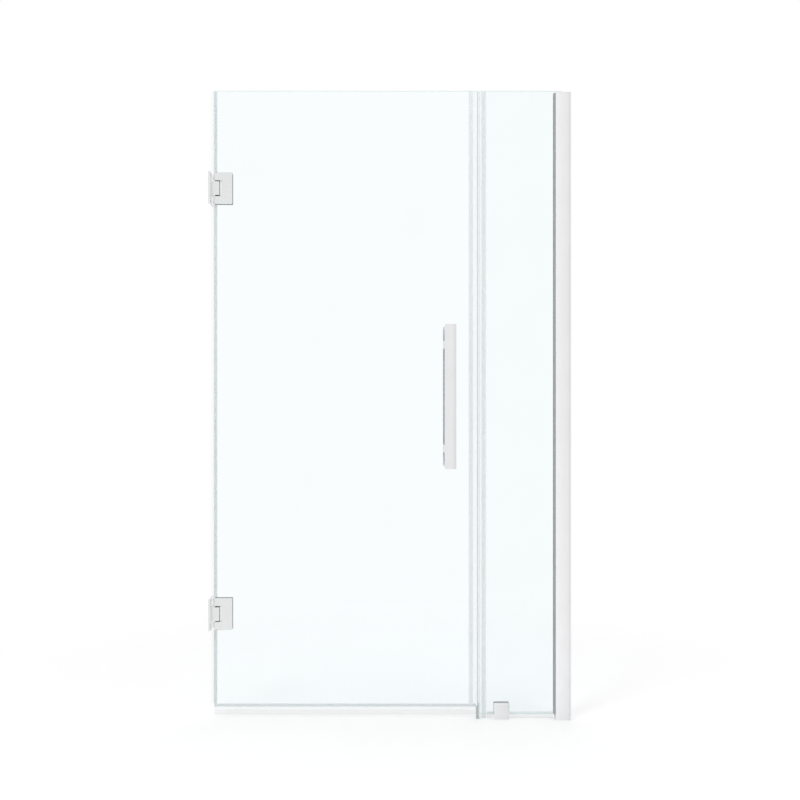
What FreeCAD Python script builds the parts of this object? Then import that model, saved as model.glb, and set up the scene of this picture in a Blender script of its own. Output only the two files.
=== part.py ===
import FreeCAD, Part
import os
import re
import Sketcher

# A frameless hinged shower door: a glass leaf on two wall hinges at the left, and beside it a fixed
# glass panel held by a wall jamb at the right and a clamp on the floor.
# Row frame, in millimetres: X runs from the hinge wall to the jamb wall with 0 midway, -Y is the
# outside of the shower with 0 in the middle of the glass, and Z is up with 0 on the floor.

DOC = FreeCAD.newDocument("ShowerDoor")
SHEET = DOC.addObject("Spreadsheet::Sheet", "Dims")

DIMENSIONS = (
    ("opening_width", 1054, "wall to wall"),
    ("jamb_height", 1829, "floor to the top of the wall jamb"),
    ("glass_top", 1836, "floor to the top of both panes"),
    ("glass_thickness", 10, "toughened glass"),
    ("arris", 1, "bevel ground along the edges of the panes"),
    ("door_edge_from_wall", 13.5, "hinge wall to the edge of the door glass"),
    ("door_strike_edge", 255.6, "X of the door glass where it meets the fixed panel"),
    ("door_glass_bottom", 36, "floor to the door glass"),
    ("fixed_glass_edge", 261.6, "X of the fixed glass beside the door"),
    ("fixed_glass_end", 503, "X of the fixed glass inside the channel"),
    ("fixed_glass_bottom", 14, "floor to the fixed glass"),
    ("lower_hinge_height", 307.5, "floor to the middle of the lower hinge"),
    ("upper_hinge_height", 1550, "floor to the middle of the upper hinge"),
    ("hinge_axis_from_wall", 22, "hinge wall to the pin's axis"),
    ("hinge_height", 92, "height of the wall plate and of the covers"),
    ("wall_plate_depth", 56, "wall plate, front to back"),
    ("wall_plate_thickness", 6, "wall plate"),
    ("wall_hole_radius", 2.75, "hole for a 5 mm wall screw"),
    ("wall_hole_depth_spacing", 38, "wall screws, front to back"),
    ("wall_hole_height_spacing", 70, "wall screws, bottom to top"),
    ("countersink", 10.4, "diameter of a screw head's countersink"),
    ("knuckle_height", 40, "block on the wall plate that carries the pin"),
    ("knuckle_depth", 24, "knuckle, front to back"),
    ("knuckle_reach", 8.5, "knuckle past the pin's axis"),
    ("knuckle_round", 6, "radius of the knuckle's free corners"),
    ("cover_width", 53.5, "hinge cover across the glass"),
    ("cover_overhang", 9, "hinge cover past the pin's axis, towards the wall"),
    ("cover_thickness", 6.5, "hinge cover"),
    ("cover_bevel", 1.2, "bevel round the faces of the covers and plates"),
    ("gasket_thickness", 1, "gasket between metal and glass"),
    ("notch_height", 45, "notch in the covers that clears the knuckle"),
    ("notch_floor", 13.5, "floor of the notch from the pin's axis"),
    ("pivot_block_height", 65, "block in the glass cutout that holds the pin"),
    ("pivot_block_reach", 26, "pivot block from the pin's axis"),
    ("cutout_clearance", 2, "glass cutout round the pivot block"),
    ("cutout_round", 5, "radius of the cutout's inner corners"),
    ("pin_radius", 4, "hinge pin"),
    ("pin_length", 62, "hinge pin"),
    ("pin_flat_depth", 0.7, "flat on the pin that the plunger closes on"),
    ("pin_flat_height", 15, "flat on the pin"),
    ("running_clearance", 0.05, "radial clearance of a turning or sliding fit"),
    ("seat_clearance", 0.02, "radial clearance of a pressed or screwed fit"),
    ("bush_radius", 5, "outside of a bush"),
    ("bush_length", 12, "bush inside the knuckle"),
    ("bush_flange_radius", 7, "flange of a bush"),
    ("bush_flange", 2, "thickness of the flange"),
    ("plunger_radius", 4, "detent plunger"),
    ("plunger_length", 5.2, "detent plunger"),
    ("plunger_gap", 0.4, "plunger's face off the round of the pin"),
    ("plug_radius", 5, "plug behind the detent spring"),
    ("plug_length", 3, "plug behind the detent spring"),
    ("spring_wire", 0.5, "radius of the spring's wire"),
    ("spring_radius", 3.1, "middle of the wire from the spring's axis"),
    ("spring_turns", 5, "turns of the detent spring"),
    ("clamp_screw_radius", 3, "screw that closes a hinge on the glass"),
    ("clamp_screw_spread", 26, "from one clamp screw to the other"),
    ("clamp_screw_place", 20, "clamp screws from the pin's axis"),
    ("clamp_screw_depth", 8.5, "clamp screw inside the pivot block"),
    ("bore_spare", 0.5, "tapped bore past the end of its screw"),
    ("lock_screw_radius", 2.5, "grub screw that locks the pin"),
    ("lock_screw_length", 8, "grub screw that locks the pin"),
    ("hex_socket", 3.5, "across the flats of a screw's socket"),
    ("small_socket", 2.5, "across the flats of a grub screw's socket"),
    ("socket_depth", 2.2, "screw's socket"),
    ("seal_wall", 1.5, "wall of the clear edge seals"),
    ("seal_inset", 2, "vertical seals below the top of the glass"),
    ("seal_bead", 0.8, "bead along the free edge of a seal's leg, proud of the leg"),
    ("seal_bead_width", 2.4, "bead along the free edge of a seal's leg"),
    ("strike_leg", 26, "leg of the door's strike seal on the glass"),
    ("panel_leg", 20, "leg of the fixed panel's edge seal on the glass"),
    ("strike_fin", 1.9, "soft fin in the gap between the panes"),
    ("hinge_seal_leg", 7.5, "leg of the hinge-side seal on the glass"),
    ("fin_thickness", 0.9, "soft fin of a seal"),
    ("wall_fin_gap", 1, "free edge of the hinge-side fin off the wall"),
    ("hinge_seal_gap", 1.5, "ends of the hinge-side seal off a hinge"),
    ("sweep_leg", 7.5, "leg of the bottom sweep on the glass"),
    ("sweep_bulb_radius", 7, "outside of the sweep's hollow bulb"),
    ("sweep_bulb_height", 19, "floor to the middle of the bulb"),
    ("bulb_wall", 1.2, "wall of the seals' hollow parts"),
    ("sweep_floor_gap", 3, "floor to the sweep's fin"),
    ("plug_floor_gap", 1, "floor to the sweep's end plug"),
    ("panel_seal_leg", 6, "leg of the fixed panel's bottom seal"),
    ("panel_seal_floor_gap", 1, "floor to the fixed panel's seals"),
    ("panel_seal_foot", 7, "width of the bottom seal at the floor"),
    ("part_gap", 1, "space between neighbouring seals, gaskets and clamps"),
    ("end_plug_start", 252, "X where the bottom sweep meets its end plug"),
    ("end_plug_end", 259, "X of the end plug's outer face"),
    ("handle_place", 173.8, "X of the handle"),
    ("handle_height", 942, "floor to the middle of the handle"),
    ("handle_length", 416, "handle bar"),
    ("handle_width", 33, "handle bar and posts"),
    ("handle_bar_thickness", 10, "handle bar"),
    ("handle_reach", 62, "middle of the glass to the front of a bar"),
    ("post_spacing", 304.8, "from one handle post to the other"),
    ("post_height", 23, "handle post"),
    ("handle_corner", 3, "radius of the bar's corners seen from the front"),
    ("handle_round", 1.2, "rounding along the edges of the handle"),
    ("washer_margin", 1, "handle washer inside the post's outline"),
    ("stud_radius", 4, "threaded stud through the glass"),
    ("stud_length", 44, "threaded stud through the glass"),
    ("stud_bore_depth", 18, "bore in a post for its stud"),
    ("glass_hole_radius", 6.5, "hole in the glass for a stud"),
    ("sleeve_clearance", 0.2, "nylon sleeve off the glass"),
    ("grub_place", 14, "grub screws from the middle of the glass"),
    ("grub_length", 7, "grub screw under an inner post"),
    ("channel_width", 44.5, "wall to the nose of the glass channel"),
    ("channel_depth", 36, "glass channel and jamb, front to back"),
    ("channel_wall", 1.8, "wall of the glass channel"),
    ("channel_slot", 16, "slot that takes the glass and its gaskets"),
    ("slot_depth", 27.7, "slot that takes the glass and its gaskets"),
    ("glazing_lip", 5, "glazing gasket in front of the channel's nose"),
    ("glazing_width", 22.5, "glazing gasket"),
    ("glazing_bevel", 1, "bevel along the gasket's lip"),
    ("block_width", 22, "setting block along the glass"),
    ("block_place", 19, "wall to the setting block"),
    ("block_slack", 0.5, "setting block off the walls of the slot"),
    ("channel_round", 1.5, "radius of the channel's nose"),
    ("jamb_step", 5.5, "part of the wall jamb that stays in sight"),
    ("step_gap", 0.5, "line between the jamb's step and the channel"),
    ("jamb_base", 2.5, "jamb's base on the wall"),
    ("jamb_reach", 30, "wall to the free edges of the jamb's legs"),
    ("jamb_wall", 1.6, "wall of the jamb's legs"),
    ("jamb_slack", 0.4, "jamb's legs off the inside of the channel"),
    ("jamb_screw_place", 18, "jamb screws from the wall"),
    ("jamb_screw_margin", 150, "jamb and wall screws from the jamb's ends"),
    ("jamb_screw_radius", 1.9, "jamb screw"),
    ("jamb_screw_length", 7, "jamb screw below its head"),
    ("jamb_head_radius", 3.6, "head of a jamb screw"),
    ("jamb_head_height", 2.4, "head of a jamb screw"),
    ("jamb_hole_radius", 2.5, "hole for a wall screw in the jamb"),
    ("screw_cap_radius", 6, "cap over a jamb screw"),
    ("screw_cap_height", 4.5, "cap over a jamb screw"),
    ("screw_cap_wall", 1.2, "wall of the cap"),
    ("clamp_place", 325.4, "X of the floor clamp"),
    ("clamp_width", 45, "floor clamp"),
    ("clamp_height", 48, "floor clamp"),
    ("clamp_plate", 6, "walls of the floor clamp"),
    ("clamp_round", 2.5, "radius of the floor clamp's upper corners"),
    ("clamp_bevel", 1.8, "bevel round the floor clamp's faces"),
    ("clamp_base", 12, "base of the floor clamp under the glass"),
    ("floor_hole_radius", 2.25, "hole for a 4 mm floor screw"),
    ("floor_hole_spacing", 16, "from one floor screw to the other"),
    ("closing_screw_radius", 2.5, "screw that closes the floor clamp"),
    ("closing_screw_spacing", 35, "from one closing screw to the other"),
    ("closing_screw_height", 6, "floor to the closing screws"),
    ("closing_screw_depth", 4, "closing screw inside the front plate"),
    ("head_ratio", 1.9, "radius of a small countersunk head over its screw's radius"),
)

for row, (alias, size, meaning) in enumerate(DIMENSIONS, 1):
    SHEET.set(f"A{row}", meaning)
    SHEET.set(f"B{row}", str(size))
    SHEET.setAlias(f"B{row}", alias)
DOC.recompute()

ALIASES = {alias for alias, size, meaning in DIMENSIONS}
NODES = []

# Places that many pieces share, worked out from the sheet.
LEFT_WALL = "(-opening_width / 2)"
RIGHT_WALL = "(opening_width / 2)"
HALF_GLASS = "(glass_thickness / 2)"
HINGE_X = f"({LEFT_WALL} + hinge_axis_from_wall)"
DOOR_EDGE = f"({LEFT_WALL} + door_edge_from_wall)"
COVER_INNER = f"({HALF_GLASS} + gasket_thickness)"
COVER_OUTER = f"({COVER_INNER} + cover_thickness)"
WALL_FACE = "(wall_plate_thickness - hinge_axis_from_wall)"
CUTOUT_TOP = "(pivot_block_height / 2 + cutout_clearance)"
CUTOUT_REACH = "(pivot_block_reach + cutout_clearance)"
GLASS_IN_HINGE = "(door_edge_from_wall - hinge_axis_from_wall)"
SEAL_OUTER = f"({HALF_GLASS} + seal_wall)"
SWEEP_TOP = "(door_glass_bottom + sweep_leg)"
ABOVE_SWEEP = f"({SWEEP_TOP} + part_gap / 2)"
HINGE_BACK = "(-hinge_axis_from_wall)"
SINK_RADIUS = "(countersink / 2)"
CHANNEL_NOSE = f"({RIGHT_WALL} - channel_width)"
HALF_CHANNEL = "(channel_depth / 2)"
HALF_SLOT = "(channel_slot / 2)"
CLAMP_OUTER = f"({COVER_INNER} + clamp_plate)"
CLAMP_LEFT = "(clamp_place - clamp_width / 2)"
CLAMP_RIGHT = "(clamp_place + clamp_width / 2)"


# ---------- Building blocks ----------

def bound(text):
    """The expression with each dimension's name pointing at the sheet."""
    return re.sub(r"[a-z_]+", lambda m: f"Dims.{m.group()}" if m.group() in ALIASES else m.group(), text)


def number(text):
    return float(SHEET.evalExpression(bound(text)))


def new_part(label, x="0", z="0"):
    """An empty body for one node, which may hold several separate solids, with its own placement."""
    body = DOC.addObject("PartDesign::Body", label)
    body.Label = label
    body.AllowCompound = True
    body.setExpression("Placement.Base.x", bound(x))
    body.setExpression("Placement.Base.z", bound(z))
    NODES.append(body)
    return body


def fix_point(sketch, edge, point, u, v):
    for direction, text in (("DistanceX", u), ("DistanceY", v)):
        place = sketch.addConstraint(Sketcher.Constraint(direction, -1, 1, edge, point, number(text)))
        sketch.setExpression(f"Constraints[{place}]", bound(text))


def polygon(*corners):
    """Draws straight edges through corners, each held to the sketch's origin by two expressions."""
    def draw(sketch):
        places = [FreeCAD.Vector(number(u), number(v), 0) for u, v in corners]
        first = sketch.GeometryCount
        for start, end in zip(places, places[1:] + places[:1]):
            sketch.addGeometry(Part.LineSegment(start, end))
        for index, corner in enumerate(corners):
            following = first + (index + 1) % len(corners)
            sketch.addConstraint(Sketcher.Constraint("Coincident", first + index, 2, following, 1))
            fix_point(sketch, first + index, 1, *corner)
    return draw


def mirrored_polygon(*corners, flip="v"):
    """A polygon from half of its corners and their mirror images, with u or v turned round."""
    images = ((f"-({u})", v) if flip == "u" else (u, f"-({v})") for u, v in reversed(corners))
    return polygon(*corners, *images)


def rectangle(left, right, low, high):
    return polygon((left, low), (right, low), (right, high), (left, high))


def centred(width, height):
    """A rectangle round the sketch's origin."""
    return rectangle(f"-({width}) / 2", f"({width}) / 2", f"-({height}) / 2", f"({height}) / 2")


def circle(u, v, radius):
    def draw(sketch):
        centre = FreeCAD.Vector(number(u), number(v), 0)
        edge = sketch.addGeometry(Part.Circle(centre, FreeCAD.Vector(0, 0, 1), number(radius)))
        fix_point(sketch, edge, 3, u, v)
        size = sketch.addConstraint(Sketcher.Constraint("Radius", edge, number(radius)))
        sketch.setExpression(f"Constraints[{size}]", bound(radius))
    return draw


def hexagon(u, v, across_flats):
    """The outline of a screw's socket."""
    corner = f"{across_flats} / sqrt(3)"
    half = f"{across_flats} / 2"
    return polygon(
        (f"{u} - {corner}", v), (f"{u} - {corner} / 2", f"{v} - {half}"),
        (f"{u} + {corner} / 2", f"{v} - {half}"), (f"{u} + {corner}", v),
        (f"{u} + {corner} / 2", f"{v} + {half}"), (f"{u} - {corner} / 2", f"{v} + {half}"))


def sketch_on(body, plane, origin, drawings):
    """A sketch on one of the body's own planes. Its origin is given along the plane's two axes and
    then along the row axis square to it."""
    sketch = body.newObject("Sketcher::SketchObject", "Sketch")
    own_plane = next(f for f in body.Origin.OriginFeatures if f.Role == f"{plane}_Plane")
    sketch.AttachmentSupport = (own_plane, "")
    sketch.MapMode = "FlatFace"
    across, up, out = origin
    out = f"-({out})" if plane == "XZ" else out  # sketches on XZ face -Y
    for axis, place in zip("xyz", (across, up, out)):
        sketch.setExpression(f"AttachmentOffset.Base.{axis}", bound(place))
    for draw in drawings:
        draw(sketch)
    DOC.recompute()
    return sketch


def add_feature(body, kind, sketch, expressions, **settings):
    """Adds a feature on a sketch, and refuses one that adds or cuts nothing."""
    before = body.Shape.Volume if body.Tip else 0
    feature = body.newObject(f"PartDesign::{kind}", kind)
    feature.Profile = sketch
    for name, setting in settings.items():
        setattr(feature, name, setting)
    for name, text in expressions.items():
        feature.setExpression(name, bound(text))
    body.Tip = feature
    DOC.recompute()
    change = body.Shape.Volume - before
    if (change >= 0) if kind in ("Pocket", "Groove") else (change <= 0):
        raise ValueError(f"{body.Label}: {feature.Label} leaves the solid as it was")


def pad(body, plane, low, high, *drawings):
    """A straight run of the drawings from low to high on the row axis square to the plane."""
    sketch = sketch_on(body, plane, ("0", "0", high if plane == "XZ" else low), drawings)
    add_feature(body, "Pad", sketch, {"Length": f"({high}) - ({low})"})


def pocket(body, plane, low, high, *drawings):
    sketch = sketch_on(body, plane, ("0", "0", high if plane == "XZ" else low), drawings)
    add_feature(body, "Pocket", sketch, {"Length": f"({high}) - ({low})"}, Reversed=True)


def turn(body, kind, plane, axis, origin, *drawings):
    """A Revolution or a Groove of the drawings about one axis of their sketch."""
    sketch = sketch_on(body, plane, origin, drawings)
    add_feature(body, kind, sketch, {}, ReferenceAxis=(sketch, [axis]))


def soften(body, kind, size, chosen):
    """Fillets or chamfers the edges that chosen picks, in the body's own frame."""
    base = body.Tip
    edges = [f"Edge{count}" for count, edge in enumerate(base.Shape.Edges, 1) if chosen(edge)]
    if not edges:
        raise ValueError(f"{body.Label}: no edge to soften")
    feature = body.newObject(f"PartDesign::{kind}", kind)
    feature.Base = (base, edges)
    feature.setExpression("Radius" if kind == "Fillet" else "Size", bound(size))
    body.Tip = feature
    DOC.recompute()


def edge_at(**places):
    """Picks the edges whose ends all lie at the given coordinates, each an expression or several."""
    levels = {
        axis: [number(text) for text in ([texts] if isinstance(texts, str) else texts)]
        for axis, texts in places.items()
    }

    def lies_on(edge, axis, level):
        return all(abs(getattr(end.Point, axis) - level) < 0.01 for end in edge.Vertexes)

    return lambda edge: all(
        any(lies_on(edge, axis, level) for level in wanted) for axis, wanted in levels.items())


def both(text):
    """The same distance on the two sides of an origin."""
    return f"-({text})", f"({text})"


def facing(side, near, far):
    """The low and high Y of a span in front of the glass (outer) or behind it (inner)."""
    return (f"-({far})", f"-({near})") if side == "outer" else (near, far)


def screw_outline(tip, face, radius, head_radius):
    """Half the section of a countersunk screw, or of its hole, that points down its axis."""
    return polygon(
        (tip, "0"), (face, "0"), (face, head_radius),
        (f"({face}) - (({head_radius}) - ({radius}))", radius), (tip, radius))


def rod_outline(start, end, radius, bevel):
    """Half the section of a rod with bevelled ends."""
    return polygon(
        (start, "0"), (end, "0"), (end, f"{radius} - {bevel}"), (f"({end}) - {bevel}", radius),
        (f"({start}) + {bevel}", radius), (start, f"{radius} - {bevel}"))


def clip_outline(edge, outward, leg):
    """Section of a seal that clips on a pane's edge: a web and two beaded legs. The edge lies at
    the given place on the sketch's first axis, and the seal stands out of it to the outward side."""
    inward = "-" if outward == "+" else "+"
    tip = f"({edge} {inward} {leg})"
    neck = f"({tip} {outward} seal_bead_width)"
    return mirrored_polygon(
        (f"{edge}", HALF_GLASS), (tip, HALF_GLASS), (tip, f"{SEAL_OUTER} + seal_bead"),
        (neck, f"{SEAL_OUTER} + seal_bead"), (neck, SEAL_OUTER),
        (f"{edge} {outward} seal_wall", SEAL_OUTER))


# ---------- Hinges: the side that stays on the wall ----------

def hinge_part(level, name):
    """A node of one hinge. Its origin is on the pin's axis, halfway up the hinge."""
    return new_part(f"{level}_hinge_{name}", x=HINGE_X, z=f"{level}_hinge_height")


def make_wall_plate(level):
    """A plate with four countersunk holes, and the knuckle that stands on it. The knuckle is bored
    for the bushes and, square to them, for the detent."""
    plate = hinge_part(level, "wall_plate")
    plug_seat = f"{HINGE_BACK} + plug_length"
    pad(plate, "YZ", HINGE_BACK, WALL_FACE, centred("wall_plate_depth", "hinge_height"))
    soften(plate, "Chamfer", "cover_bevel", edge_at(x=WALL_FACE))
    pad(plate, "YZ", WALL_FACE, "knuckle_reach", centred("knuckle_depth", "knuckle_height"))
    soften(plate, "Fillet", "knuckle_round", edge_at(x="knuckle_reach", y=both("knuckle_depth / 2")))
    pocket(plate, "XY", *both("knuckle_height / 2"), circle("0", "0", "bush_radius + seat_clearance"))
    pocket(plate, "YZ", plug_seat, "0", circle("0", "0", "plunger_radius + running_clearance"))
    pocket(plate, "YZ", HINGE_BACK, plug_seat, circle("0", "0", "plug_radius + seat_clearance"))
    hole = screw_outline(HINGE_BACK, WALL_FACE, "wall_hole_radius", SINK_RADIUS)
    for y in both("wall_hole_depth_spacing / 2"):
        for z in both("wall_hole_height_spacing / 2"):
            turn(plate, "Groove", "XZ", "H_Axis", ("0", z, y), hole)


def make_bushes(level):
    """Two plastic bushes, pressed into the knuckle from above and below, that the pin turns in."""
    bushes = hinge_part(level, "bushes")
    bore = "pin_radius + running_clearance"
    for side in ("", "-"):
        inner_end = f"{side}(knuckle_height / 2 - bush_length)"
        rim = f"{side}(knuckle_height / 2)"
        outer_end = f"{side}(knuckle_height / 2 + bush_flange)"
        turn(bushes, "Revolution", "XZ", "V_Axis", ("0", "0", "0"), polygon(
            (bore, inner_end), ("bush_radius", inner_end), ("bush_radius", rim),
            ("bush_flange_radius", rim), ("bush_flange_radius", outer_end), (bore, outer_end)))


def make_detent(level):
    """The spring-loaded plunger that clicks on the pin's flat when the door is closed, drawn pushed
    back so that it stands clear of the pin's round side, with its spring and plug behind it."""
    nose = "(-pin_radius - plunger_gap)"
    plunger_back = f"({nose} - plunger_length)"
    spring_back = f"({HINGE_BACK} + plug_length)"
    plunger = hinge_part(level, "detent_plunger")
    turn(plunger, "Revolution", "XZ", "H_Axis", ("0", "0", "0"),
         rod_outline(plunger_back, nose, "plunger_radius", "plunger_gap"))

    spring = hinge_part(level, "detent_spring")
    wire = sketch_on(spring, "XZ", ("0", "0", "0"),
                     [circle(f"{spring_back} + spring_wire", "spring_radius", "spring_wire")])
    travel = f"({plunger_back} - {spring_back} - 2 * spring_wire)"
    add_feature(spring, "AdditiveHelix", wire, {"Pitch": f"{travel} / spring_turns", "Height": travel},
                ReferenceAxis=(wire, ["H_Axis"]), Mode=0)

    plug = hinge_part(level, "spring_plug")
    pad(plug, "YZ", HINGE_BACK, spring_back, circle("0", "0", "plug_radius"))
    pocket(plug, "YZ", HINGE_BACK, f"{HINGE_BACK} + plug_length / 2", hexagon("0", "0", "hex_socket"))


# ---------- Hinges: the side that swings with the door ----------

def notched_outline(far, height):
    """A rectangle whose side near the wall is notched to clear the knuckle."""
    return mirrored_polygon(
        ("notch_floor", "notch_height / 2"), ("-cover_overhang", "notch_height / 2"),
        ("-cover_overhang", f"{height} / 2"), (far, f"{height} / 2"))


def cover_outline():
    return notched_outline("cover_width - cover_overhang", "hinge_height")


def make_pin(level):
    pin = hinge_part(level, "pin")
    turn(pin, "Revolution", "XZ", "V_Axis", ("0", "0", "0"), polygon(
        ("0", "-pin_length / 2"), ("pin_radius - pin_flat_depth", "-pin_length / 2"),
        ("pin_radius", "-pin_length / 2 + pin_flat_depth"),
        ("pin_radius", "pin_length / 2 - pin_flat_depth"),
        ("pin_radius - pin_flat_depth", "pin_length / 2"), ("0", "pin_length / 2")))
    pocket(pin, "XY", *both("pin_flat_height / 2"), rectangle(
        "-2 * pin_radius", "pin_flat_depth - pin_radius", "-pin_radius", "pin_radius"))


def lock_screw_heights():
    """The grub screws that lock the pin stand in the middle of the block above and below the notch."""
    return both("(pivot_block_height + notch_height) / 4")


def make_pin_screws(level):
    screws = hinge_part(level, "pin_screws")
    end = "(pin_radius + lock_screw_length)"
    for z in lock_screw_heights():
        pad(screws, "YZ", "pin_radius", end, circle("0", z, "lock_screw_radius"))
    for z in lock_screw_heights():
        pocket(screws, "YZ", f"{end} - socket_depth", end, hexagon("0", z, "small_socket"))


def make_front_plate(level):
    """The cover in front of the glass, in one piece with the block that fills the glass cutout and
    holds the pin's ends. The block is bored for the pin, its grub screws and the clamp screws."""
    plate = hinge_part(level, "front_plate")
    pad(plate, "XZ", f"-{COVER_OUTER}", f"-{COVER_INNER}", cover_outline())
    soften(plate, "Chamfer", "cover_bevel", edge_at(y=f"-{COVER_OUTER}"))
    pad(plate, "XZ", *both(COVER_INNER), notched_outline("pivot_block_reach", "pivot_block_height"))
    pocket(plate, "XY", *both("pivot_block_height / 2"), circle("0", "0", "pin_radius + seat_clearance"))
    pocket(plate, "YZ", "0", "pivot_block_reach", *(
        circle("0", z, "lock_screw_radius + seat_clearance") for z in lock_screw_heights()))
    pocket(plate, "XZ", f"{COVER_INNER} - clamp_screw_depth - bore_spare", COVER_INNER, *(
        circle("clamp_screw_place", z, "clamp_screw_radius + seat_clearance")
        for z in both("clamp_screw_spread / 2")))


def make_clamp_plate(level):
    """The cover behind the glass, pulled onto the block by two countersunk screws."""
    plate = hinge_part(level, "clamp_plate")
    pad(plate, "XZ", COVER_INNER, COVER_OUTER, cover_outline())
    soften(plate, "Chamfer", "cover_bevel", edge_at(y=COVER_OUTER))
    hole = screw_outline(COVER_INNER, COVER_OUTER, "clamp_screw_radius + seat_clearance",
                         f"{SINK_RADIUS} + seat_clearance")
    for z in both("clamp_screw_spread / 2"):
        turn(plate, "Groove", "YZ", "H_Axis", ("0", z, "clamp_screw_place"), hole)


def make_clamp_screws(level):
    screws = hinge_part(level, "clamp_screws")
    tip = f"({COVER_INNER} - clamp_screw_depth)"
    for z in both("clamp_screw_spread / 2"):
        turn(screws, "Revolution", "YZ", "H_Axis", ("0", z, "clamp_screw_place"),
             screw_outline(tip, COVER_OUTER, "clamp_screw_radius", SINK_RADIUS))
    for z in both("clamp_screw_spread / 2"):
        pocket(screws, "XZ", f"{COVER_OUTER} - socket_depth", COVER_OUTER,
               hexagon("clamp_screw_place", z, "hex_socket"))


def make_hinge_gasket(level, side, name):
    """A thin C between a cover and the glass, open round the block."""
    gasket = hinge_part(level, f"{name}_gasket")
    far = "(cover_width - cover_overhang - gasket_thickness)"
    top = "(hinge_height / 2 - gasket_thickness)"
    pad(gasket, "XZ", *facing(side, HALF_GLASS, COVER_INNER), polygon(
        (GLASS_IN_HINGE, f"-{top}"), (far, f"-{top}"), (far, top), (GLASS_IN_HINGE, top),
        (GLASS_IN_HINGE, CUTOUT_TOP), (CUTOUT_REACH, CUTOUT_TOP),
        (CUTOUT_REACH, f"-{CUTOUT_TOP}"), (GLASS_IN_HINGE, f"-{CUTOUT_TOP}")))


for hinge in ("upper", "lower"):
    make_wall_plate(hinge)
    make_bushes(hinge)
    make_detent(hinge)
    make_pin(hinge)
    make_pin_screws(hinge)
    make_front_plate(hinge)
    make_clamp_plate(hinge)
    make_hinge_gasket(hinge, "outer", "front")
    make_hinge_gasket(hinge, "inner", "back")
    make_clamp_screws(hinge)


# ---------- Door leaf ----------

def post_heights():
    """The handle's posts above and below its middle."""
    return both("post_spacing / 2")


def make_door_glass():
    """The pane, cut out round each hinge's block and drilled for the handle's studs."""
    glass = new_part("door_glass")
    cutout_end = f"({HINGE_X} + {CUTOUT_REACH})"
    pad(glass, "XZ", *both(HALF_GLASS),
        rectangle(DOOR_EDGE, "door_strike_edge", "door_glass_bottom", "glass_top"))
    cutouts = [(f"({level}_hinge_height - {CUTOUT_TOP})", f"({level}_hinge_height + {CUTOUT_TOP})")
               for level in ("lower", "upper")]
    for low, high in cutouts:
        pocket(glass, "XZ", *both(HALF_GLASS), rectangle(DOOR_EDGE, cutout_end, low, high))
    corners = [corner for pair in cutouts for corner in pair]
    soften(glass, "Fillet", "cutout_round", edge_at(x=cutout_end, z=corners))
    soften(glass, "Chamfer", "arris", edge_at(y=both(HALF_GLASS)))
    pocket(glass, "XZ", *both(HALF_GLASS), *(
        circle("handle_place", f"handle_height + {z}", "glass_hole_radius") for z in post_heights()))


def make_hinge_side_seal():
    """Three lengths of a clip with a soft fin towards the wall, broken at the hinges."""
    seal = new_part("hinge_side_seal")
    stretches = (
        (ABOVE_SWEEP, "lower_hinge_height - hinge_height / 2 - hinge_seal_gap"),
        ("lower_hinge_height + hinge_height / 2 + hinge_seal_gap",
         "upper_hinge_height - hinge_height / 2 - hinge_seal_gap"),
        ("upper_hinge_height + hinge_height / 2 + hinge_seal_gap", "glass_top - seal_inset"),
    )
    web = f"({DOOR_EDGE} - seal_wall)"
    leg_end = f"({DOOR_EDGE} + hinge_seal_leg)"
    outline = mirrored_polygon(
        (f"{LEFT_WALL} + wall_fin_gap", "fin_thickness / 2"), (web, "fin_thickness / 2"),
        (web, SEAL_OUTER), (leg_end, SEAL_OUTER), (leg_end, HALF_GLASS), (DOOR_EDGE, HALF_GLASS))
    for low, high in stretches:
        pad(seal, "XY", low, high, outline)


def make_strike_side_seal():
    """A long clip along the leaf's free edge with a soft fin in the gap between the panes."""
    seal = new_part("strike_side_seal")
    span = (ABOVE_SWEEP, "glass_top - seal_inset")
    web = "(door_strike_edge + seal_wall)"
    pad(seal, "XY", *span, clip_outline("door_strike_edge", "+", "strike_leg"))
    pad(seal, "XY", *span, rectangle(web, f"{web} + strike_fin", *both("fin_thickness")))


def make_bottom_sweep():
    """A clip under the leaf, a hollow bulb on a stem, and a fin that stops short of the floor."""
    sweep = new_part("bottom_sweep")
    span = (DOOR_EDGE, "end_plug_start")
    bulb_top = "(sweep_bulb_height + sweep_bulb_radius)"
    web = "(door_glass_bottom - seal_wall)"
    pad(sweep, "YZ", *span, mirrored_polygon(
        ("fin_thickness", f"{bulb_top} - bulb_wall"), ("fin_thickness", web), (SEAL_OUTER, web),
        (SEAL_OUTER, SWEEP_TOP), (HALF_GLASS, SWEEP_TOP), (HALF_GLASS, "door_glass_bottom"), flip="u"))
    pad(sweep, "YZ", *span, circle("0", "sweep_bulb_height", "sweep_bulb_radius"))
    pocket(sweep, "YZ", *span, circle("0", "sweep_bulb_height", "sweep_bulb_radius - bulb_wall"))
    pad(sweep, "YZ", *span, rectangle(
        "-fin_thickness / 2", "fin_thickness / 2", "sweep_floor_gap",
        "sweep_bulb_height - sweep_bulb_radius + bulb_wall / 2"))


def make_end_plug():
    """The moulded piece that closes the sweep's end and turns up beside the glass."""
    plug = new_part("bottom_sweep_end_plug")
    step = "(door_strike_edge + sleeve_clearance)"
    under_glass = "(door_glass_bottom - sleeve_clearance)"
    pad(plug, "XZ", *both(SEAL_OUTER), polygon(
        ("end_plug_start", "plug_floor_gap"), ("end_plug_end", "plug_floor_gap"),
        ("end_plug_end", SWEEP_TOP), (step, SWEEP_TOP), (step, under_glass),
        ("end_plug_start", under_glass)))
    soften(plug, "Chamfer", "arris", edge_at(x="end_plug_end", y=both(SEAL_OUTER)))


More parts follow.
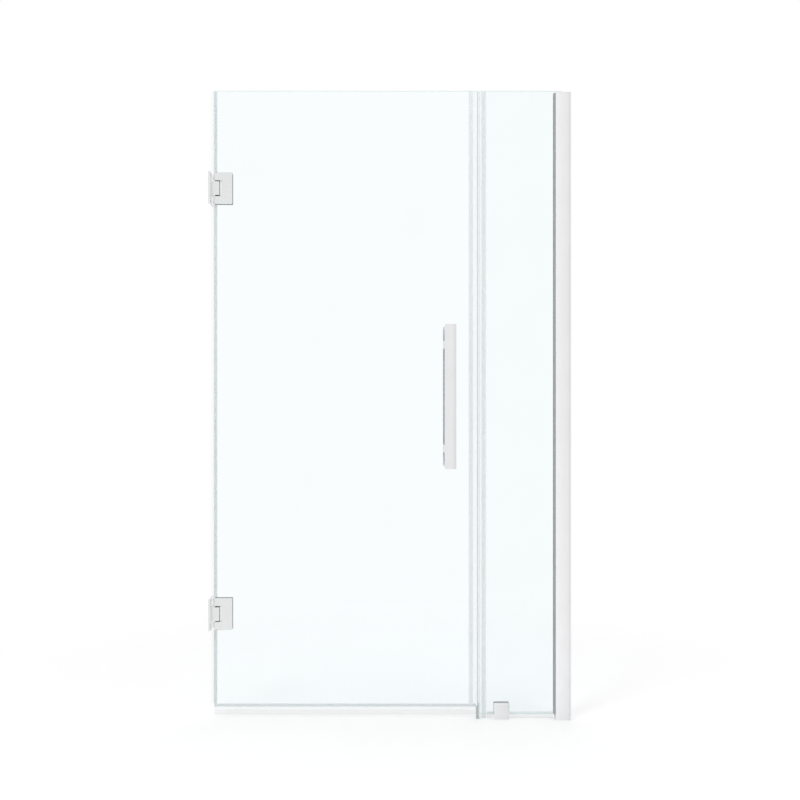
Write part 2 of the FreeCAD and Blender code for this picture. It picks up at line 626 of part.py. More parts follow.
def make_handle(side):
    """A flat bar on two posts, bored for the studs. The inner posts also take a grub screw each."""
    handle = new_part(f"{side}_handle", x="handle_place", z="handle_height")
    bar_back = "(handle_reach - handle_bar_thickness)"
    outer_face = "-handle_reach" if side == "outer" else "handle_reach"
    pad(handle, "XZ", *facing(side, bar_back, "handle_reach"), centred("handle_width", "handle_length"))
    soften(handle, "Fillet", "handle_corner",
           edge_at(x=both("handle_width / 2"), z=both("handle_length / 2")))
    soften(handle, "Fillet", "handle_round", edge_at(y=outer_face))
    for z in post_heights():
        pad(handle, "XZ", *facing(side, COVER_INNER, bar_back), rectangle(
            *both("handle_width / 2"), f"{z} - post_height / 2", f"{z} + post_height / 2"))
    post_edges = [f"{z} {sign} post_height / 2" for z in post_heights() for sign in "+-"]
    soften(handle, "Fillet", "handle_round", edge_at(x=both("handle_width / 2"), z=post_edges))
    pocket(handle, "XZ", *facing(side, COVER_INNER, f"{COVER_INNER} + stud_bore_depth"), *(
        circle("0", z, "stud_radius + seat_clearance") for z in post_heights()))
    if side == "inner":
        for z in post_heights():
            pocket(handle, "XY", f"{z} - post_height / 2", z,
                   circle("0", "grub_place", "lock_screw_radius + seat_clearance"))


def make_handle_fixings():
    """Studs, nylon sleeves, washers and grub screws that join the two handles through the glass."""
    place = {"x": "handle_place", "z": "handle_height"}
    studs = new_part("handle_studs", **place)
    sleeves = new_part("handle_sleeves", **place)
    washers = new_part("handle_washers", **place)
    grub_screws = new_part("handle_grub_screws", **place)
    for z in post_heights():
        turn(studs, "Revolution", "YZ", "H_Axis", ("0", z, "0"),
             rod_outline(*both("stud_length / 2"), "stud_radius", "pin_flat_depth"))
        pad(sleeves, "XZ", *both(HALF_GLASS),
            circle("0", z, "glass_hole_radius - sleeve_clearance"),
            circle("0", z, "stud_radius + running_clearance"))
        for side in ("outer", "inner"):
            pad(washers, "XZ", *facing(side, HALF_GLASS, COVER_INNER),
                rectangle(*both("handle_width / 2 - washer_margin"),
                          f"{z} - post_height / 2 + washer_margin",
                          f"{z} + post_height / 2 - washer_margin"),
                circle("0", z, "stud_radius + running_clearance"))
    for z in post_heights():
        low = f"{z} - stud_radius - grub_length"
        pad(grub_screws, "XY", low, f"{z} - stud_radius", circle("0", "grub_place", "lock_screw_radius"))
    for z in post_heights():
        low = f"{z} - stud_radius - grub_length"
        pocket(grub_screws, "XY", low, f"{low} + socket_depth", hexagon("0", "grub_place", "small_socket"))


make_door_glass()
make_hinge_side_seal()
make_strike_side_seal()
make_bottom_sweep()
make_end_plug()
make_handle("outer")
make_handle("inner")
make_handle_fixings()


# ---------- Fixed panel ----------

def make_fixed_glass():
    glass = new_part("fixed_glass")
    pad(glass, "XZ", *both(HALF_GLASS),
        rectangle("fixed_glass_edge", "fixed_glass_end", "fixed_glass_bottom", "glass_top"))
    soften(glass, "Chamfer", "arris", edge_at(y=both(HALF_GLASS)))


def make_panel_edge_seal():
    seal = new_part("fixed_panel_edge_seal")
    pad(seal, "XY", "panel_seal_floor_gap", "glass_top - seal_inset",
        clip_outline("fixed_glass_edge", "-", "panel_leg"))


def make_panel_bottom_seal():
    """A hollow foot on a clip under the fixed glass, in one length on each side of the clamp."""
    seal = new_part("fixed_panel_bottom_seal")
    web = "(fixed_glass_bottom - seal_wall)"
    leg_top = "(fixed_glass_bottom + panel_seal_leg)"
    foot = "(panel_seal_foot / 2)"
    floor = "panel_seal_floor_gap"
    outer = mirrored_polygon(
        (foot, floor), (HALF_GLASS, web), (SEAL_OUTER, web), (SEAL_OUTER, leg_top),
        (HALF_GLASS, leg_top), (HALF_GLASS, "fixed_glass_bottom"), flip="u")
    hollow = mirrored_polygon(
        (f"{foot} - bulb_wall", f"{floor} + bulb_wall"),
        (f"{HALF_GLASS} - bulb_wall", f"{web} - bulb_wall"), flip="u")
    for left, right in (
            ("fixed_glass_edge + panel_leg + part_gap", f"{CLAMP_LEFT} - part_gap"),
            (f"{CLAMP_RIGHT} + part_gap", f"{CHANNEL_NOSE} - glazing_lip - part_gap")):
        pad(seal, "YZ", left, right, outer, hollow)


def screw_heights():
    """Screws near the ends of the jamb and halfway up."""
    return "jamb_screw_margin", "(jamb_height / 2)", "(jamb_height - jamb_screw_margin)"


def make_wall_jamb():
    """A channel fixed flat on the wall. Its legs slide inside the glass channel, which makes up for
    a wall that is out of plumb, and a step at its base stays in sight."""
    jamb = new_part("wall_jamb")
    leg_outer = f"({HALF_CHANNEL} - channel_wall - jamb_slack)"
    leg_inner = f"({leg_outer} - jamb_wall)"
    step = f"({RIGHT_WALL} - jamb_step)"
    leg_end = f"({RIGHT_WALL} - jamb_reach)"
    pad(jamb, "XY", "0", "jamb_height", mirrored_polygon(
        (RIGHT_WALL, HALF_CHANNEL), (step, HALF_CHANNEL), (step, leg_outer), (leg_end, leg_outer),
        (leg_end, leg_inner), (f"{RIGHT_WALL} - jamb_base", leg_inner)))
    pocket(jamb, "YZ", f"{RIGHT_WALL} - jamb_base", RIGHT_WALL, *(
        circle("0", z, "jamb_hole_radius") for z in screw_heights()))
    pocket(jamb, "XZ", leg_inner, leg_outer, *(
        circle(f"{RIGHT_WALL} - jamb_screw_place", z, "jamb_screw_radius + seat_clearance")
        for z in screw_heights()))


def make_glass_channel():
    """The channel over the jamb, with the slot for the glass between its two noses."""
    channel = new_part("glass_channel")
    free_edge = f"({RIGHT_WALL} - jamb_step - step_gap)"
    slot_end = f"({CHANNEL_NOSE} + slot_depth)"
    wall_inner = f"({HALF_CHANNEL} - channel_wall)"
    slot_outer = f"({HALF_SLOT} + channel_wall)"
    pad(channel, "XY", "0", "jamb_height", polygon(
        (free_edge, HALF_CHANNEL), (CHANNEL_NOSE, HALF_CHANNEL), (CHANNEL_NOSE, HALF_SLOT),
        (slot_end, HALF_SLOT), (slot_end, f"-{HALF_SLOT}"), (CHANNEL_NOSE, f"-{HALF_SLOT}"),
        (CHANNEL_NOSE, f"-{HALF_CHANNEL}"), (free_edge, f"-{HALF_CHANNEL}"),
        (free_edge, f"-{wall_inner}"), (f"{CHANNEL_NOSE} + channel_wall", f"-{wall_inner}"),
        (f"{CHANNEL_NOSE} + channel_wall", f"-{slot_outer}"),
        (f"{slot_end} + channel_wall", f"-{slot_outer}"), (f"{slot_end} + channel_wall", slot_outer),
        (f"{CHANNEL_NOSE} + channel_wall", slot_outer), (f"{CHANNEL_NOSE} + channel_wall", wall_inner),
        (free_edge, wall_inner)))
    soften(channel, "Fillet", "channel_round", edge_at(x=CHANNEL_NOSE, y=both(HALF_CHANNEL)))
    pocket(channel, "XZ", wall_inner, HALF_CHANNEL, *(
        circle(f"{RIGHT_WALL} - jamb_screw_place", z, "jamb_screw_radius + seat_clearance")
        for z in screw_heights()))


def make_glazing():
    """A gasket on each side of the glass in the slot, and the block that the glass stands on."""
    for side in ("outer", "inner"):
        gasket = new_part(f"{side}_glazing_gasket")
        lip = f"({CHANNEL_NOSE} - glazing_lip)"
        low, high = facing(side, HALF_GLASS, HALF_SLOT)
        pad(gasket, "XY", "fixed_glass_bottom", "jamb_height",
            rectangle(lip, f"{lip} + glazing_width", low, high))
        soften(gasket, "Chamfer", "glazing_bevel", edge_at(x=lip, y=(low, high)))
    block = new_part("setting_block")
    half_block = f"({HALF_SLOT} - block_slack)"
    block_end = f"({RIGHT_WALL} - block_place)"
    pad(block, "XY", "0", "fixed_glass_bottom",
        rectangle(f"{block_end} - block_width", block_end, *both(half_block)))


def make_jamb_fixings():
    """Screws through the channel and the jamb's inner leg, each under a round cap."""
    screws = new_part("jamb_screws", x=f"{RIGHT_WALL} - jamb_screw_place")
    caps = new_part("jamb_screw_caps", x=f"{RIGHT_WALL} - jamb_screw_place")
    head = f"({HALF_CHANNEL} + jamb_head_height)"
    tip = f"({HALF_CHANNEL} - jamb_screw_length)"
    rim = f"({HALF_CHANNEL} + screw_cap_height)"
    cavity = f"({rim} - screw_cap_wall)"
    for z in screw_heights():
        turn(screws, "Revolution", "YZ", "H_Axis", ("0", z, "0"), polygon(
            (tip, "0"), (head, "0"), (head, "jamb_head_radius - jamb_head_height / 2"),
            (f"{head} - jamb_head_height / 2", "jamb_head_radius"), (HALF_CHANNEL, "jamb_head_radius"),
            (HALF_CHANNEL, "jamb_screw_radius"), (tip, "jamb_screw_radius")))
        turn(caps, "Revolution", "YZ", "H_Axis", ("0", z, "0"), polygon(
            (cavity, "0"), (rim, "0"), (rim, "screw_cap_radius - screw_cap_wall"),
            (f"{rim} - screw_cap_wall", "screw_cap_radius"), (HALF_CHANNEL, "screw_cap_radius"),
            (HALF_CHANNEL, "screw_cap_radius - screw_cap_wall"),
            (cavity, "screw_cap_radius - screw_cap_wall")))


def closing_screw_places():
    return both("closing_screw_spacing / 2")


def make_floor_clamp():
    """A back wall and base in one piece, a front plate that two screws pull towards it, and thin
    gaskets round the glass between them."""
    sink = "(closing_screw_radius * head_ratio)"
    tip = f"(-{COVER_INNER} - closing_screw_depth)"
    upper_corners = {"x": both("clamp_width / 2"), "z": "clamp_height"}

    def round_face(y):
        """The edges round a face of the clamp, but for the one on the floor."""
        return lambda edge: edge_at(y=y)(edge) and not edge_at(z="0")(edge)

    clamp = new_part("floor_clamp_body", x="clamp_place")
    pad(clamp, "XZ", COVER_INNER, CLAMP_OUTER, rectangle(*both("clamp_width / 2"), "0", "clamp_height"))
    soften(clamp, "Fillet", "clamp_round", edge_at(**upper_corners))
    soften(clamp, "Chamfer", "clamp_bevel", round_face(CLAMP_OUTER))
    pad(clamp, "XZ", *both(COVER_INNER), rectangle(*both("clamp_width / 2"), "0", "clamp_base"))
    screw_hole = screw_outline(f"-{COVER_INNER}", CLAMP_OUTER, "closing_screw_radius + seat_clearance",
                               f"{sink} + seat_clearance")
    for x in closing_screw_places():
        turn(clamp, "Groove", "YZ", "H_Axis", ("0", "closing_screw_height", x), screw_hole)
    for x in both("floor_hole_spacing / 2"):
        turn(clamp, "Groove", "XZ", "V_Axis", (x, "0", "0"), polygon(
            ("0", "0"), ("0", "clamp_base"), ("floor_hole_radius * head_ratio", "clamp_base"),
            ("floor_hole_radius", "clamp_base - floor_hole_radius * (head_ratio - 1)"),
            ("floor_hole_radius", "0")))

    plate = new_part("floor_clamp_front_plate", x="clamp_place")
    pad(plate, "XZ", f"-{CLAMP_OUTER}", f"-{COVER_INNER}",
        rectangle(*both("clamp_width / 2"), "0", "clamp_height"))
    soften(plate, "Fillet", "clamp_round", edge_at(**upper_corners))
    soften(plate, "Chamfer", "clamp_bevel", round_face(f"-{CLAMP_OUTER}"))
    pocket(plate, "XZ", f"{tip} - bore_spare", f"-{COVER_INNER}", *(
        circle(x, "closing_screw_height", "closing_screw_radius + seat_clearance")
        for x in closing_screw_places()))

    gaskets = new_part("floor_clamp_gaskets", x="clamp_place")
    for side in ("outer", "inner"):
        pad(gaskets, "XZ", *facing(side, HALF_GLASS, COVER_INNER), rectangle(
            *both("clamp_width / 2 - gasket_thickness"), "fixed_glass_bottom",
            "clamp_height - gasket_thickness"))
    pad(gaskets, "XZ", *both(HALF_GLASS), rectangle(
        *both("clamp_width / 2 - gasket_thickness"), "clamp_base", "fixed_glass_bottom"))

    screws = new_part("floor_clamp_screws", x="clamp_place")
    for x in closing_screw_places():
        turn(screws, "Revolution", "YZ", "H_Axis", ("0", "closing_screw_height", x),
             screw_outline(tip, CLAMP_OUTER, "closing_screw_radius", sink))
    for x in closing_screw_places():
        pocket(screws, "XZ", f"{CLAMP_OUTER} - socket_depth", CLAMP_OUTER,
               hexagon(x, "closing_screw_height", "small_socket"))


make_fixed_glass()
make_panel_edge_seal()
make_panel_bottom_seal()
make_wall_jamb()
make_glass_channel()
make_glazing()
make_jamb_fixings()
make_floor_clamp()


# ---------- Checks and export ----------

DOC.recompute()
failed = [thing.Label for thing in DOC.Objects if {"Invalid", "Error"} & set(thing.State)]
unsound = [node.Label for node in NODES if node.Shape.isNull() or not node.Shape.isValid()]
if failed or unsound:
    raise ValueError(f"failed: {failed}, unsound: {unsound}")

os.makedirs("parts", exist_ok=True)
for node in NODES:
    node.Shape.exportStep(f"parts/{node.Label}.step")
    print(f"{node.Label}: {len(node.Shape.Solids)} solids, {node.Shape.Volume:.0f} mm3")
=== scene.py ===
import math

import bpy
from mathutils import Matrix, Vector


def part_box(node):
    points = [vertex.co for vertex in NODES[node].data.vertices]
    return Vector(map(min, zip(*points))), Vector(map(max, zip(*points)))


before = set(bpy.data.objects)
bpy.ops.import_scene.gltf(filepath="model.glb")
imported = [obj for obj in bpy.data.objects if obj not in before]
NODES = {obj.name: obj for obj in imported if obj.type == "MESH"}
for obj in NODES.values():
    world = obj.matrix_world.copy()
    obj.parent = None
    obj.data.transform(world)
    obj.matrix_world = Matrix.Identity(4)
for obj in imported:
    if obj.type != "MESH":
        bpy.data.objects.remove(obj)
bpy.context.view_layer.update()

MM = 0.001

# ---------- Camera, as the photograph has it ----------

EYE = (0.029, -2.8, 0.932)  # metres: level with the handle, a little right of the middle
SENSOR = 36.0
LENS = 43.03
FARTHEST = 60.0  # metres: well past the far side of the floor


def add_camera():
    data = bpy.data.cameras.new("camera")
    data.sensor_width = SENSOR
    data.lens = LENS
    data.clip_end = FARTHEST
    camera = bpy.data.objects.new("camera", data)
    camera.location = EYE
    camera.rotation_euler = (math.radians(90), 0, 0)
    bpy.context.scene.collection.objects.link(camera)
    bpy.context.scene.camera = camera


# ---------- Node helpers ----------

# Sockets of the Mix node when it mixes colours.
MIX_FACTOR, MIX_FIRST, MIX_SECOND, MIX_RESULT = 0, 6, 7, 2

BUMP_DEPTH = 0.2 * MM


class Tree:
    """A short way to write a node tree: add a node, set its inputs, link what is itself a socket."""

    def __init__(self, owner):
        owner.use_nodes = True
        self.tree = owner.node_tree
        self.tree.nodes.clear()

    def put(self, value, socket):
        """Links a socket, or sets a plain value."""
        if isinstance(value, bpy.types.NodeSocket):
            self.tree.links.new(value, socket)
        else:
            socket.default_value = value

    def add(self, kind, inputs=None, **settings):
        node = self.tree.nodes.new(kind)
        for name, value in settings.items():
            setattr(node, name, value)
        for name, value in (inputs or {}).items():
            self.put(value, node.inputs[name])
        return node

    def shader(self, kind, **inputs):
        """A shader node's output. An underscore in an input's name stands for a space."""
        named = {name.replace("_", " "): value for name, value in inputs.items()}
        return self.add(kind, named).outputs[0]

    def mix_shader(self, factor, first, second):
        return self.add("ShaderNodeMixShader", {0: factor, 1: first, 2: second}).outputs[0]

    def mix_color(self, factor, first, second):
        node = self.add("ShaderNodeMix", data_type="RGBA")
        self.put(factor, node.inputs[MIX_FACTOR])
        self.put(first, node.inputs[MIX_FIRST])
        self.put(second, node.inputs[MIX_SECOND])
        return node.outputs[MIX_RESULT]

    def scale_color(self, color, strength):
        scaled = self.add("ShaderNodeVectorMath", {0: color, "Scale": strength}, operation="SCALE")
        return scaled.outputs[0]

    def math(self, operation, *values):
        return self.add("ShaderNodeMath", dict(enumerate(values)), operation=operation).outputs[0]

    def ramp(self, value, low, high, to_low=0.0, to_high=1.0, smooth=False):
        """Maps value from low..high to to_low..to_high, clamped."""
        node = self.add(
            "ShaderNodeMapRange",
            {"Value": value, "From Min": low, "From Max": high, "To Min": to_low, "To Max": to_high},
            interpolation_type="SMOOTHSTEP" if smooth else "LINEAR")
        return node.outputs["Result"]

    def noise(self, vector, scale, detail=3.0, roughness=0.5):
        node = self.add("ShaderNodeTexNoise", {
            "Vector": vector, "Scale": scale, "Detail": detail, "Roughness": roughness})
        return node.outputs["Fac"]

    def bump(self, height, strength):
        node = self.add("ShaderNodeBump", {
            "Height": height, "Strength": strength, "Distance": BUMP_DEPTH})
        return node.outputs["Normal"]

    def mapped(self, vector, scale):
        return self.add("ShaderNodeMapping", {"Vector": vector, "Scale": scale}).outputs["Vector"]

    def coordinates(self):
        return self.add("ShaderNodeTexCoord").outputs

    def light_path(self):
        return self.add("ShaderNodeLightPath").outputs

    def split(self, vector):
        node = self.add("ShaderNodeSeparateXYZ", {"Vector": vector})
        return [node.outputs[axis] for axis in "XYZ"]

    def facing(self, coordinates):
        """How squarely a face looks along the depth of the door: 1 on a pane, 0 on its edges."""
        depth = self.split(coordinates["Normal"])[1]
        return self.math("ABSOLUTE", depth)

    def finish(self, shader, output="ShaderNodeOutputMaterial"):
        self.add(output, {"Surface": shader})


def rgb(red, green, blue):
    return (red, green, blue, 1.0)


def dimmed(tone, share):
    """The tone with a share of it taken away."""
    return rgb(*(channel * (1 - share) for channel in tone))


def new_material(name):
    material = bpy.data.materials.new(name)
    return material, Tree(material)


def assign(material, *names):
    for name in names:
        slots = NODES[name].data.materials
        slots.clear()
        slots.append(material)


# ---------- Materials ----------

# How finely metal is brushed along each axis: the small number is the way that the streaks run.
BRUSHED_UP = (900.0, 900.0, 12.0)
BRUSHED_ACROSS = (12.0, 900.0, 900.0)
TURNED = (20.0, 20.0, 900.0)
DRAWN_WIRE = (200.0, 200.0, 200.0)
MACHINED = (300.0, 300.0, 300.0)

# Painted shading: two places on row X, in metres, and the tone's strength at each.
# The tone is painted lighter at the first place and darker at the second, standing in for the room's
# light and reflection across the handle, clamp and channel.
HANDLE_PAINTED_SHADE = (0.178, 0.188, 1.057, 0.951)
CLAMP_PAINTED_SHADE = (0.303, 0.348, 1.085, 0.997)
CHANNEL_PAINTED_SHADE = (0.483, 0.527, 1.125, 0.995)

WATER_MARK = 0.008  # share of the tint that a water mark takes
GLASS_IOR = 1.5
EDGE_FACING = 0.9  # a face that looks along the depth less squarely than this is a glass edge
FROST = 0.15  # how much of the light a ground edge scatters
PASSING_LIGHT = (0.93, 0.96, 0.96)  # what is left of light that comes straight through a pane

VINYL_TONE = (0.62, 0.67, 0.70)
VINYL_GRAIN = (40.0, 40.0, 2.0)
CLEAR = 0.02  # share of the light that one face of clear vinyl stops
SOFT_EDGE = 2.0 * MM  # how far a milky band fades out on each side of its end

PLASTIC_MOTTLE = 0.08  # share of the tone that the mottling takes
PLASTIC_GRAIN = 120.0


def satin_metal(name, tone, grain, roughness, wear=0.06, painted_shade=None):
    """Brushed metal: fine streaks along the grain in roughness and bump, and a faint cloudy tone.
    The last argument, if given, paints shading: two places on row X, in metres, and the tone's
    strength at each."""
    material, t = new_material(name)
    place = t.coordinates()["Object"]
    streaks = t.noise(t.mapped(place, grain), scale=1.0, detail=4.0, roughness=0.6)
    clouds = t.noise(place, scale=14.0, detail=2.0)
    base = t.mix_color(t.ramp(clouds, 0.3, 0.7), dimmed(tone, wear / 2), rgb(*tone))
    streaked = t.math("MULTIPLY", t.ramp(streaks, 0.35, 0.75), 0.5)
    color = t.mix_color(streaked, base, dimmed(tone, wear))
    # Painted shading: the tone is scaled lighter on one side of row X and darker on the other,
    # standing in for reflected room light.
    if painted_shade:
        color = t.scale_color(color, t.ramp(t.split(place)[0], *painted_shade))
    t.finish(t.shader(
        "ShaderNodeBsdfPrincipled", Base_Color=color, Metallic=1.0,
        Roughness=t.ramp(streaks, 0.2, 0.8, roughness - 0.05, roughness + 0.06),
        Normal=t.bump(streaks, strength=0.08)))
    return material


def glass(name, face, edge):
    """Clear toughened glass, with faint water marks in its tint. Its ground edges and arrises are
    frosted, so they let a tinted light through without bending it. Light, and what metal mirrors,
    comes straight through."""
    material, t = new_material(name)
    coordinates = t.coordinates()
    marks = t.noise(coordinates["Object"], scale=6.0, detail=5.0)
    color = t.mix_color(t.ramp(marks, 0.45, 0.75), rgb(*face), dimmed(face, WATER_MARK))
    body = t.shader("ShaderNodeBsdfPrincipled", Base_Color=color, Transmission_Weight=1.0,
                    IOR=GLASS_IOR, Roughness=0.0)
    frost = t.shader("ShaderNodeBsdfPrincipled", Base_Color=rgb(*edge), Roughness=0.5)
    tint = t.shader("ShaderNodeBsdfTransparent", Color=rgb(*edge))
    ground = t.mix_shader(FROST, tint, frost)
    on_edge = t.math("LESS_THAN", t.facing(coordinates), EDGE_FACING)
    pane = t.mix_shader(on_edge, body, ground)
    clear = t.shader("ShaderNodeBsdfTransparent", Color=rgb(*PASSING_LIGHT))
    light = t.light_path()
    before_glass = t.math("LESS_THAN", light["Transmission Depth"], 0.5)
    mirrored = t.math("MULTIPLY", light["Is Glossy Ray"], before_glass)
    straight = t.math("MAXIMUM", light["Is Shadow Ray"], mirrored)
    t.finish(t.mix_shader(straight, pane, clear))
    return material


def clear_vinyl(name, on_edge, bands):
    """Clear extruded vinyl, nearly invisible over the glass. on_edge is the share of light stopped
    by walls that stand on edge. Each band is an axis, two places on it in metres and the share
    stopped between them: soft milky lips, and legs whose grip on the glass shows."""
    material, t = new_material(name)
    coordinates = t.coordinates()
    ripples = t.noise(t.mapped(coordinates["Object"], VINYL_GRAIN), scale=1.0, detail=2.0)
    cloud = t.ramp(t.facing(coordinates), 0.2, 0.6, on_edge, CLEAR)
    place = dict(zip("XYZ", t.split(coordinates["Object"])))
    for axis, low, high, share in bands:
        along = place[axis]
        rise = t.ramp(along, low - SOFT_EDGE, low + SOFT_EDGE, 0.0, share, smooth=True)
        fall = t.ramp(along, high - SOFT_EDGE, high + SOFT_EDGE, share, 0.0, smooth=True)
        cloud = t.math("MAXIMUM", cloud, t.math("MINIMUM", rise, fall))
    t.finish(t.shader(
        "ShaderNodeBsdfPrincipled", Base_Color=rgb(*VINYL_TONE), Alpha=cloud,
        Roughness=t.ramp(ripples, 0.3, 0.7, 0.2, 0.4)))
    return material


def plain_plastic(name, tone, roughness):
    """Moulded plastic or rubber: a fine even grain in bump and roughness, with slight mottling."""
    material, t = new_material(name)
    place = t.coordinates()["Object"]
    specks = t.noise(place, scale=PLASTIC_GRAIN, detail=2.0)
    mottle = t.noise(place, scale=25.0)
    color = t.mix_color(t.ramp(mottle, 0.3, 0.7), dimmed(tone, PLASTIC_MOTTLE), rgb(*tone))
    t.finish(t.shader(
        "ShaderNodeBsdfPrincipled", Base_Color=color,
        Roughness=t.ramp(specks, 0.3, 0.7, roughness - 0.04, roughness + 0.06),
        Normal=t.bump(specks, strength=0.1)))
    return material


# ---------- Each node's finish ----------

def hinge_nodes(*names):
    return [f"{level}_hinge_{name}" for level in ("upper", "lower") for name in names]


def dress_metal():
    nickel = (0.80, 0.80, 0.81)
    hinge_nickel = (0.81, 0.825, 0.825)
    anodised = (0.83, 0.83, 0.84)
    screw_steel = (0.62, 0.62, 0.63)
    pin_steel = (0.60, 0.60, 0.61)
    spring_steel = (0.42, 0.42, 0.43)
    assign(satin_metal("hinge_nickel", hinge_nickel, BRUSHED_UP, roughness=0.24),
           *hinge_nodes("wall_plate", "front_plate", "clamp_plate"))
    # The handle, clamp and channel get painted shading across row X: lighter towards the left,
    # darker towards the right.
    assign(satin_metal("handle_nickel_painted_shade", nickel, BRUSHED_UP, roughness=0.22, painted_shade=HANDLE_PAINTED_SHADE),
           "outer_handle", "inner_handle")
    assign(satin_metal("clamp_nickel_painted_shade", nickel, BRUSHED_ACROSS, roughness=0.24, painted_shade=CLAMP_PAINTED_SHADE),
           "floor_clamp_body", "floor_clamp_front_plate")
    assign(satin_metal("channel_anodised_painted_shade", anodised, BRUSHED_UP, roughness=0.3, painted_shade=CHANNEL_PAINTED_SHADE),
           "wall_jamb", "glass_channel")
    assign(satin_metal("screw_steel", screw_steel, MACHINED, roughness=0.3, wear=0.2),
           *hinge_nodes("pin_screws", "clamp_screws", "spring_plug"),
           "handle_studs", "handle_grub_screws", "jamb_screws", "floor_clamp_screws")
    assign(satin_metal("pin_steel", pin_steel, TURNED, roughness=0.16), *hinge_nodes("pin"))
    assign(satin_metal("spring_steel", spring_steel, DRAWN_WIRE, roughness=0.3, wear=0.2),
           *hinge_nodes("detent_spring"))


def dress_plastic():
    black_acetal = (0.06, 0.06, 0.065)
    white_nylon = (0.80, 0.80, 0.77)
    grey_cap = (0.66, 0.67, 0.68)
    dark_gasket = (0.30, 0.31, 0.32)
    grey_gasket = (0.48, 0.49, 0.49)
    black_rubber = (0.04, 0.04, 0.04)
    grey_plug = (0.55, 0.59, 0.60)
    assign(plain_plastic("bush_acetal", black_acetal, roughness=0.42),
           *hinge_nodes("bushes", "detent_plunger"))
    assign(plain_plastic("nylon", white_nylon, roughness=0.4), "handle_sleeves")
    assign(plain_plastic("cap_plastic", grey_cap, roughness=0.3), "jamb_screw_caps")
    assign(plain_plastic("gasket_vinyl", dark_gasket, roughness=0.55),
           *hinge_nodes("front_gasket", "back_gasket"), "handle_washers", "floor_clamp_gaskets")
    assign(plain_plastic("glazing_vinyl", grey_gasket, roughness=0.5),
           "outer_glazing_gasket", "inner_glazing_gasket")
    assign(plain_plastic("block_rubber", black_rubber, roughness=0.6), "setting_block")
    assign(plain_plastic("grey_vinyl", grey_plug, roughness=0.4), "bottom_sweep_end_plug")


def dress_glass():
    assign(glass("door_glass", face=(0.945, 0.982, 0.993), edge=(0.90, 0.97, 0.96)), "door_glass")
    assign(glass("fixed_glass", face=(0.923, 0.967, 0.977), edge=(0.88, 0.96, 0.95)), "fixed_glass")


def dress_seals():
    """The clear seals. Their milky bands are measured in from each seal's own sides."""
    low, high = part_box("strike_side_seal")
    grip = ("X", low.x + 1 * MM, low.x + 13 * MM, 0.095)
    fin = ("X", high.x - 4 * MM, high.x, 0.30)
    assign(clear_vinyl("door_seal_vinyl", on_edge=0.30, bands=[grip, fin]), "strike_side_seal")

    low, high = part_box("fixed_panel_edge_seal")
    grip = ("X", high.x - 14 * MM, high.x - 2 * MM, 0.10)
    assign(clear_vinyl("panel_seal_vinyl", on_edge=0.30, bands=[grip]), "fixed_panel_edge_seal")

    low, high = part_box("bottom_sweep")
    grip_foot = high.z - 7.5 * MM
    grip = ("Z", grip_foot, high.z, 0.17)
    wall = ("Z", low.z + 6 * MM, grip_foot, 0.05)
    assign(clear_vinyl("sweep_vinyl", on_edge=0.08, bands=[grip, wall]), "bottom_sweep")

    low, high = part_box("hinge_side_seal")
    grip_start = high.x - 8 * MM
    grip = ("X", grip_start, high.x, 0.18)
    wall = ("X", high.x - 16 * MM, grip_start, 0.07)
    assign(clear_vinyl("hinge_seal_vinyl", on_edge=0.30, bands=[grip, wall]), "hinge_side_seal")

    low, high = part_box("fixed_panel_bottom_seal")
    grip = ("Z", high.z - 7 * MM, high.z, 0.09)
    wall = ("Z", low.z + 4 * MM, high.z - 6 * MM, 0.03)
    assign(clear_vinyl("foot_vinyl", on_edge=0.06, bands=[grip, wall]), "fixed_panel_bottom_seal")


# ---------- Floor, sky and lamps ----------

WHITE = (1.0, 1.0, 1.0)
FLOOR_SIZE = 24.0
FLOOR_DROP = 0.2 * MM  # keeps the floor just clear of the door's foot
FLOOR_GREY = (0.80, 0.80, 0.80)
FLOOR_LIFT = 0.295  # brings the unshaded floor up to white
SHADOW_REACH = 1.6  # metres from the middle to where the floor is plain white
SHADOW_FADE = 0.6  # share of that reach at which it begins to turn white
EVEN_LIGHT = 0.62

# Each lamp's name, place, the point that it faces, its disk's width in metres, and its watts.
LAMPS = [
    ("key", (-2.2, -3.2, 3.6), (0, 0, 0.9), 2.0, 50),
    ("fill", (2.8, -2.6, 2.4), (0, 0, 0.9), 2.5, 25),
    ("top", (0.3, 1.2, 4.0), (0, 0, 0.8), 2.5, 25),
]


def background_ray(t):
    """One for the rays that show the white background: the eye's, and those of metal and glass."""
    light = t.light_path()
    shown = t.math("MAXIMUM", light["Is Glossy Ray"], light["Is Transmission Ray"])
    return t.math("MAXIMUM", light["Is Camera Ray"], shown)


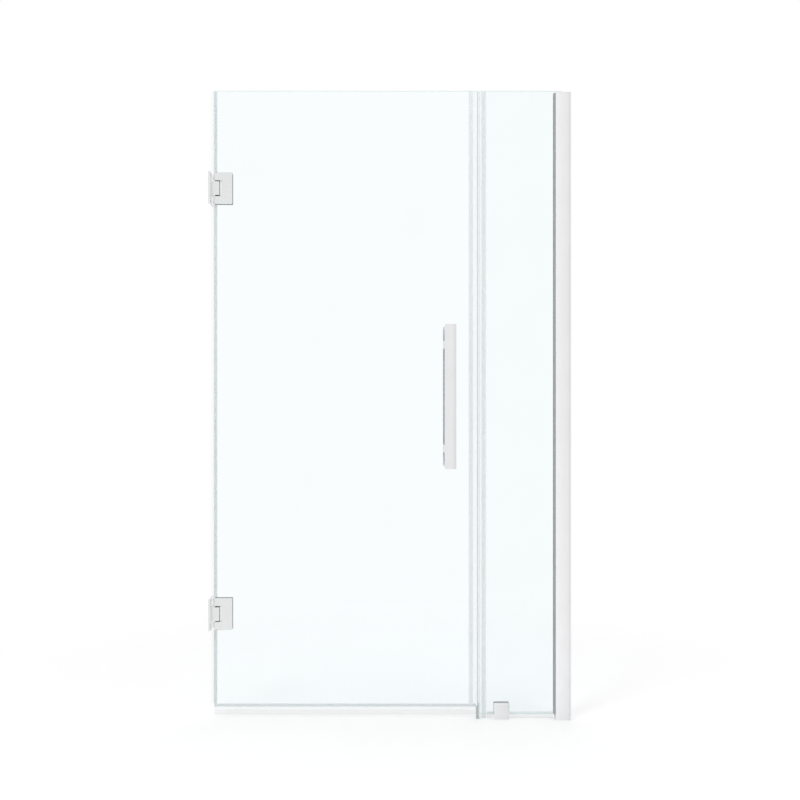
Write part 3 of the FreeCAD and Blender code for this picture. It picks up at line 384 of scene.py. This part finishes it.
def add_floor():
    """A pale floor, seen by the eye, and in metal and glass, with the object's soft shadow on it.
    Beyond the reach of that shadow it is as white as the sky behind it."""
    bpy.ops.mesh.primitive_plane_add(size=FLOOR_SIZE, location=(0, 0, -FLOOR_DROP))
    floor = bpy.context.object
    floor.name = "floor"
    material, t = new_material("floor_white")
    place = t.coordinates()["Object"]
    distance = t.add("ShaderNodeVectorMath", {0: place}, operation="LENGTH").outputs["Value"]
    lit = t.shader("ShaderNodeBsdfDiffuse", Color=rgb(*FLOOR_GREY))
    lift = t.shader("ShaderNodeEmission", Color=rgb(*WHITE), Strength=FLOOR_LIFT)
    lifted = t.add("ShaderNodeAddShader", {0: lit, 1: lift}).outputs[0]
    white = t.shader("ShaderNodeEmission", Color=rgb(*WHITE), Strength=1.0)
    background = background_ray(t)
    far = t.ramp(distance, SHADOW_FADE * SHADOW_REACH, SHADOW_REACH, smooth=True)
    near = t.mix_shader(background, lit, lifted)
    t.finish(t.mix_shader(t.math("MULTIPLY", background, far), near, white))
    floor.data.materials.append(material)


def add_sky():
    """White to the eye, and in metal and glass. A soft even light falls on the rest."""
    world = bpy.data.worlds.new("studio")
    bpy.context.scene.world = world
    t = Tree(world)
    even = t.shader("ShaderNodeBackground", Color=rgb(*WHITE), Strength=EVEN_LIGHT)
    white = t.shader("ShaderNodeBackground", Color=rgb(*WHITE), Strength=1.0)
    t.finish(t.mix_shader(background_ray(t), even, white), "ShaderNodeOutputWorld")


def add_lamp(name, place, target, size, watts):
    """A soft disk lamp that lights the object and isn't itself seen, mirrored or refracted."""
    data = bpy.data.lights.new(name, "AREA")
    data.shape = "DISK"
    data.size = size
    data.energy = watts
    lamp = bpy.data.objects.new(name, data)
    lamp.location = place
    direction = Vector(target) - Vector(place)
    lamp.rotation_euler = direction.to_track_quat("-Z", "Y").to_euler()
    lamp.visible_camera = False
    lamp.visible_glossy = False
    lamp.visible_transmission = False
    bpy.context.scene.collection.objects.link(lamp)


add_camera()
dress_metal()
dress_plastic()
dress_glass()
dress_seals()
add_floor()
add_sky()
for lamp_facts in LAMPS:
    add_lamp(*lamp_facts)

view = bpy.context.scene.view_settings
view.view_transform = "Standard"
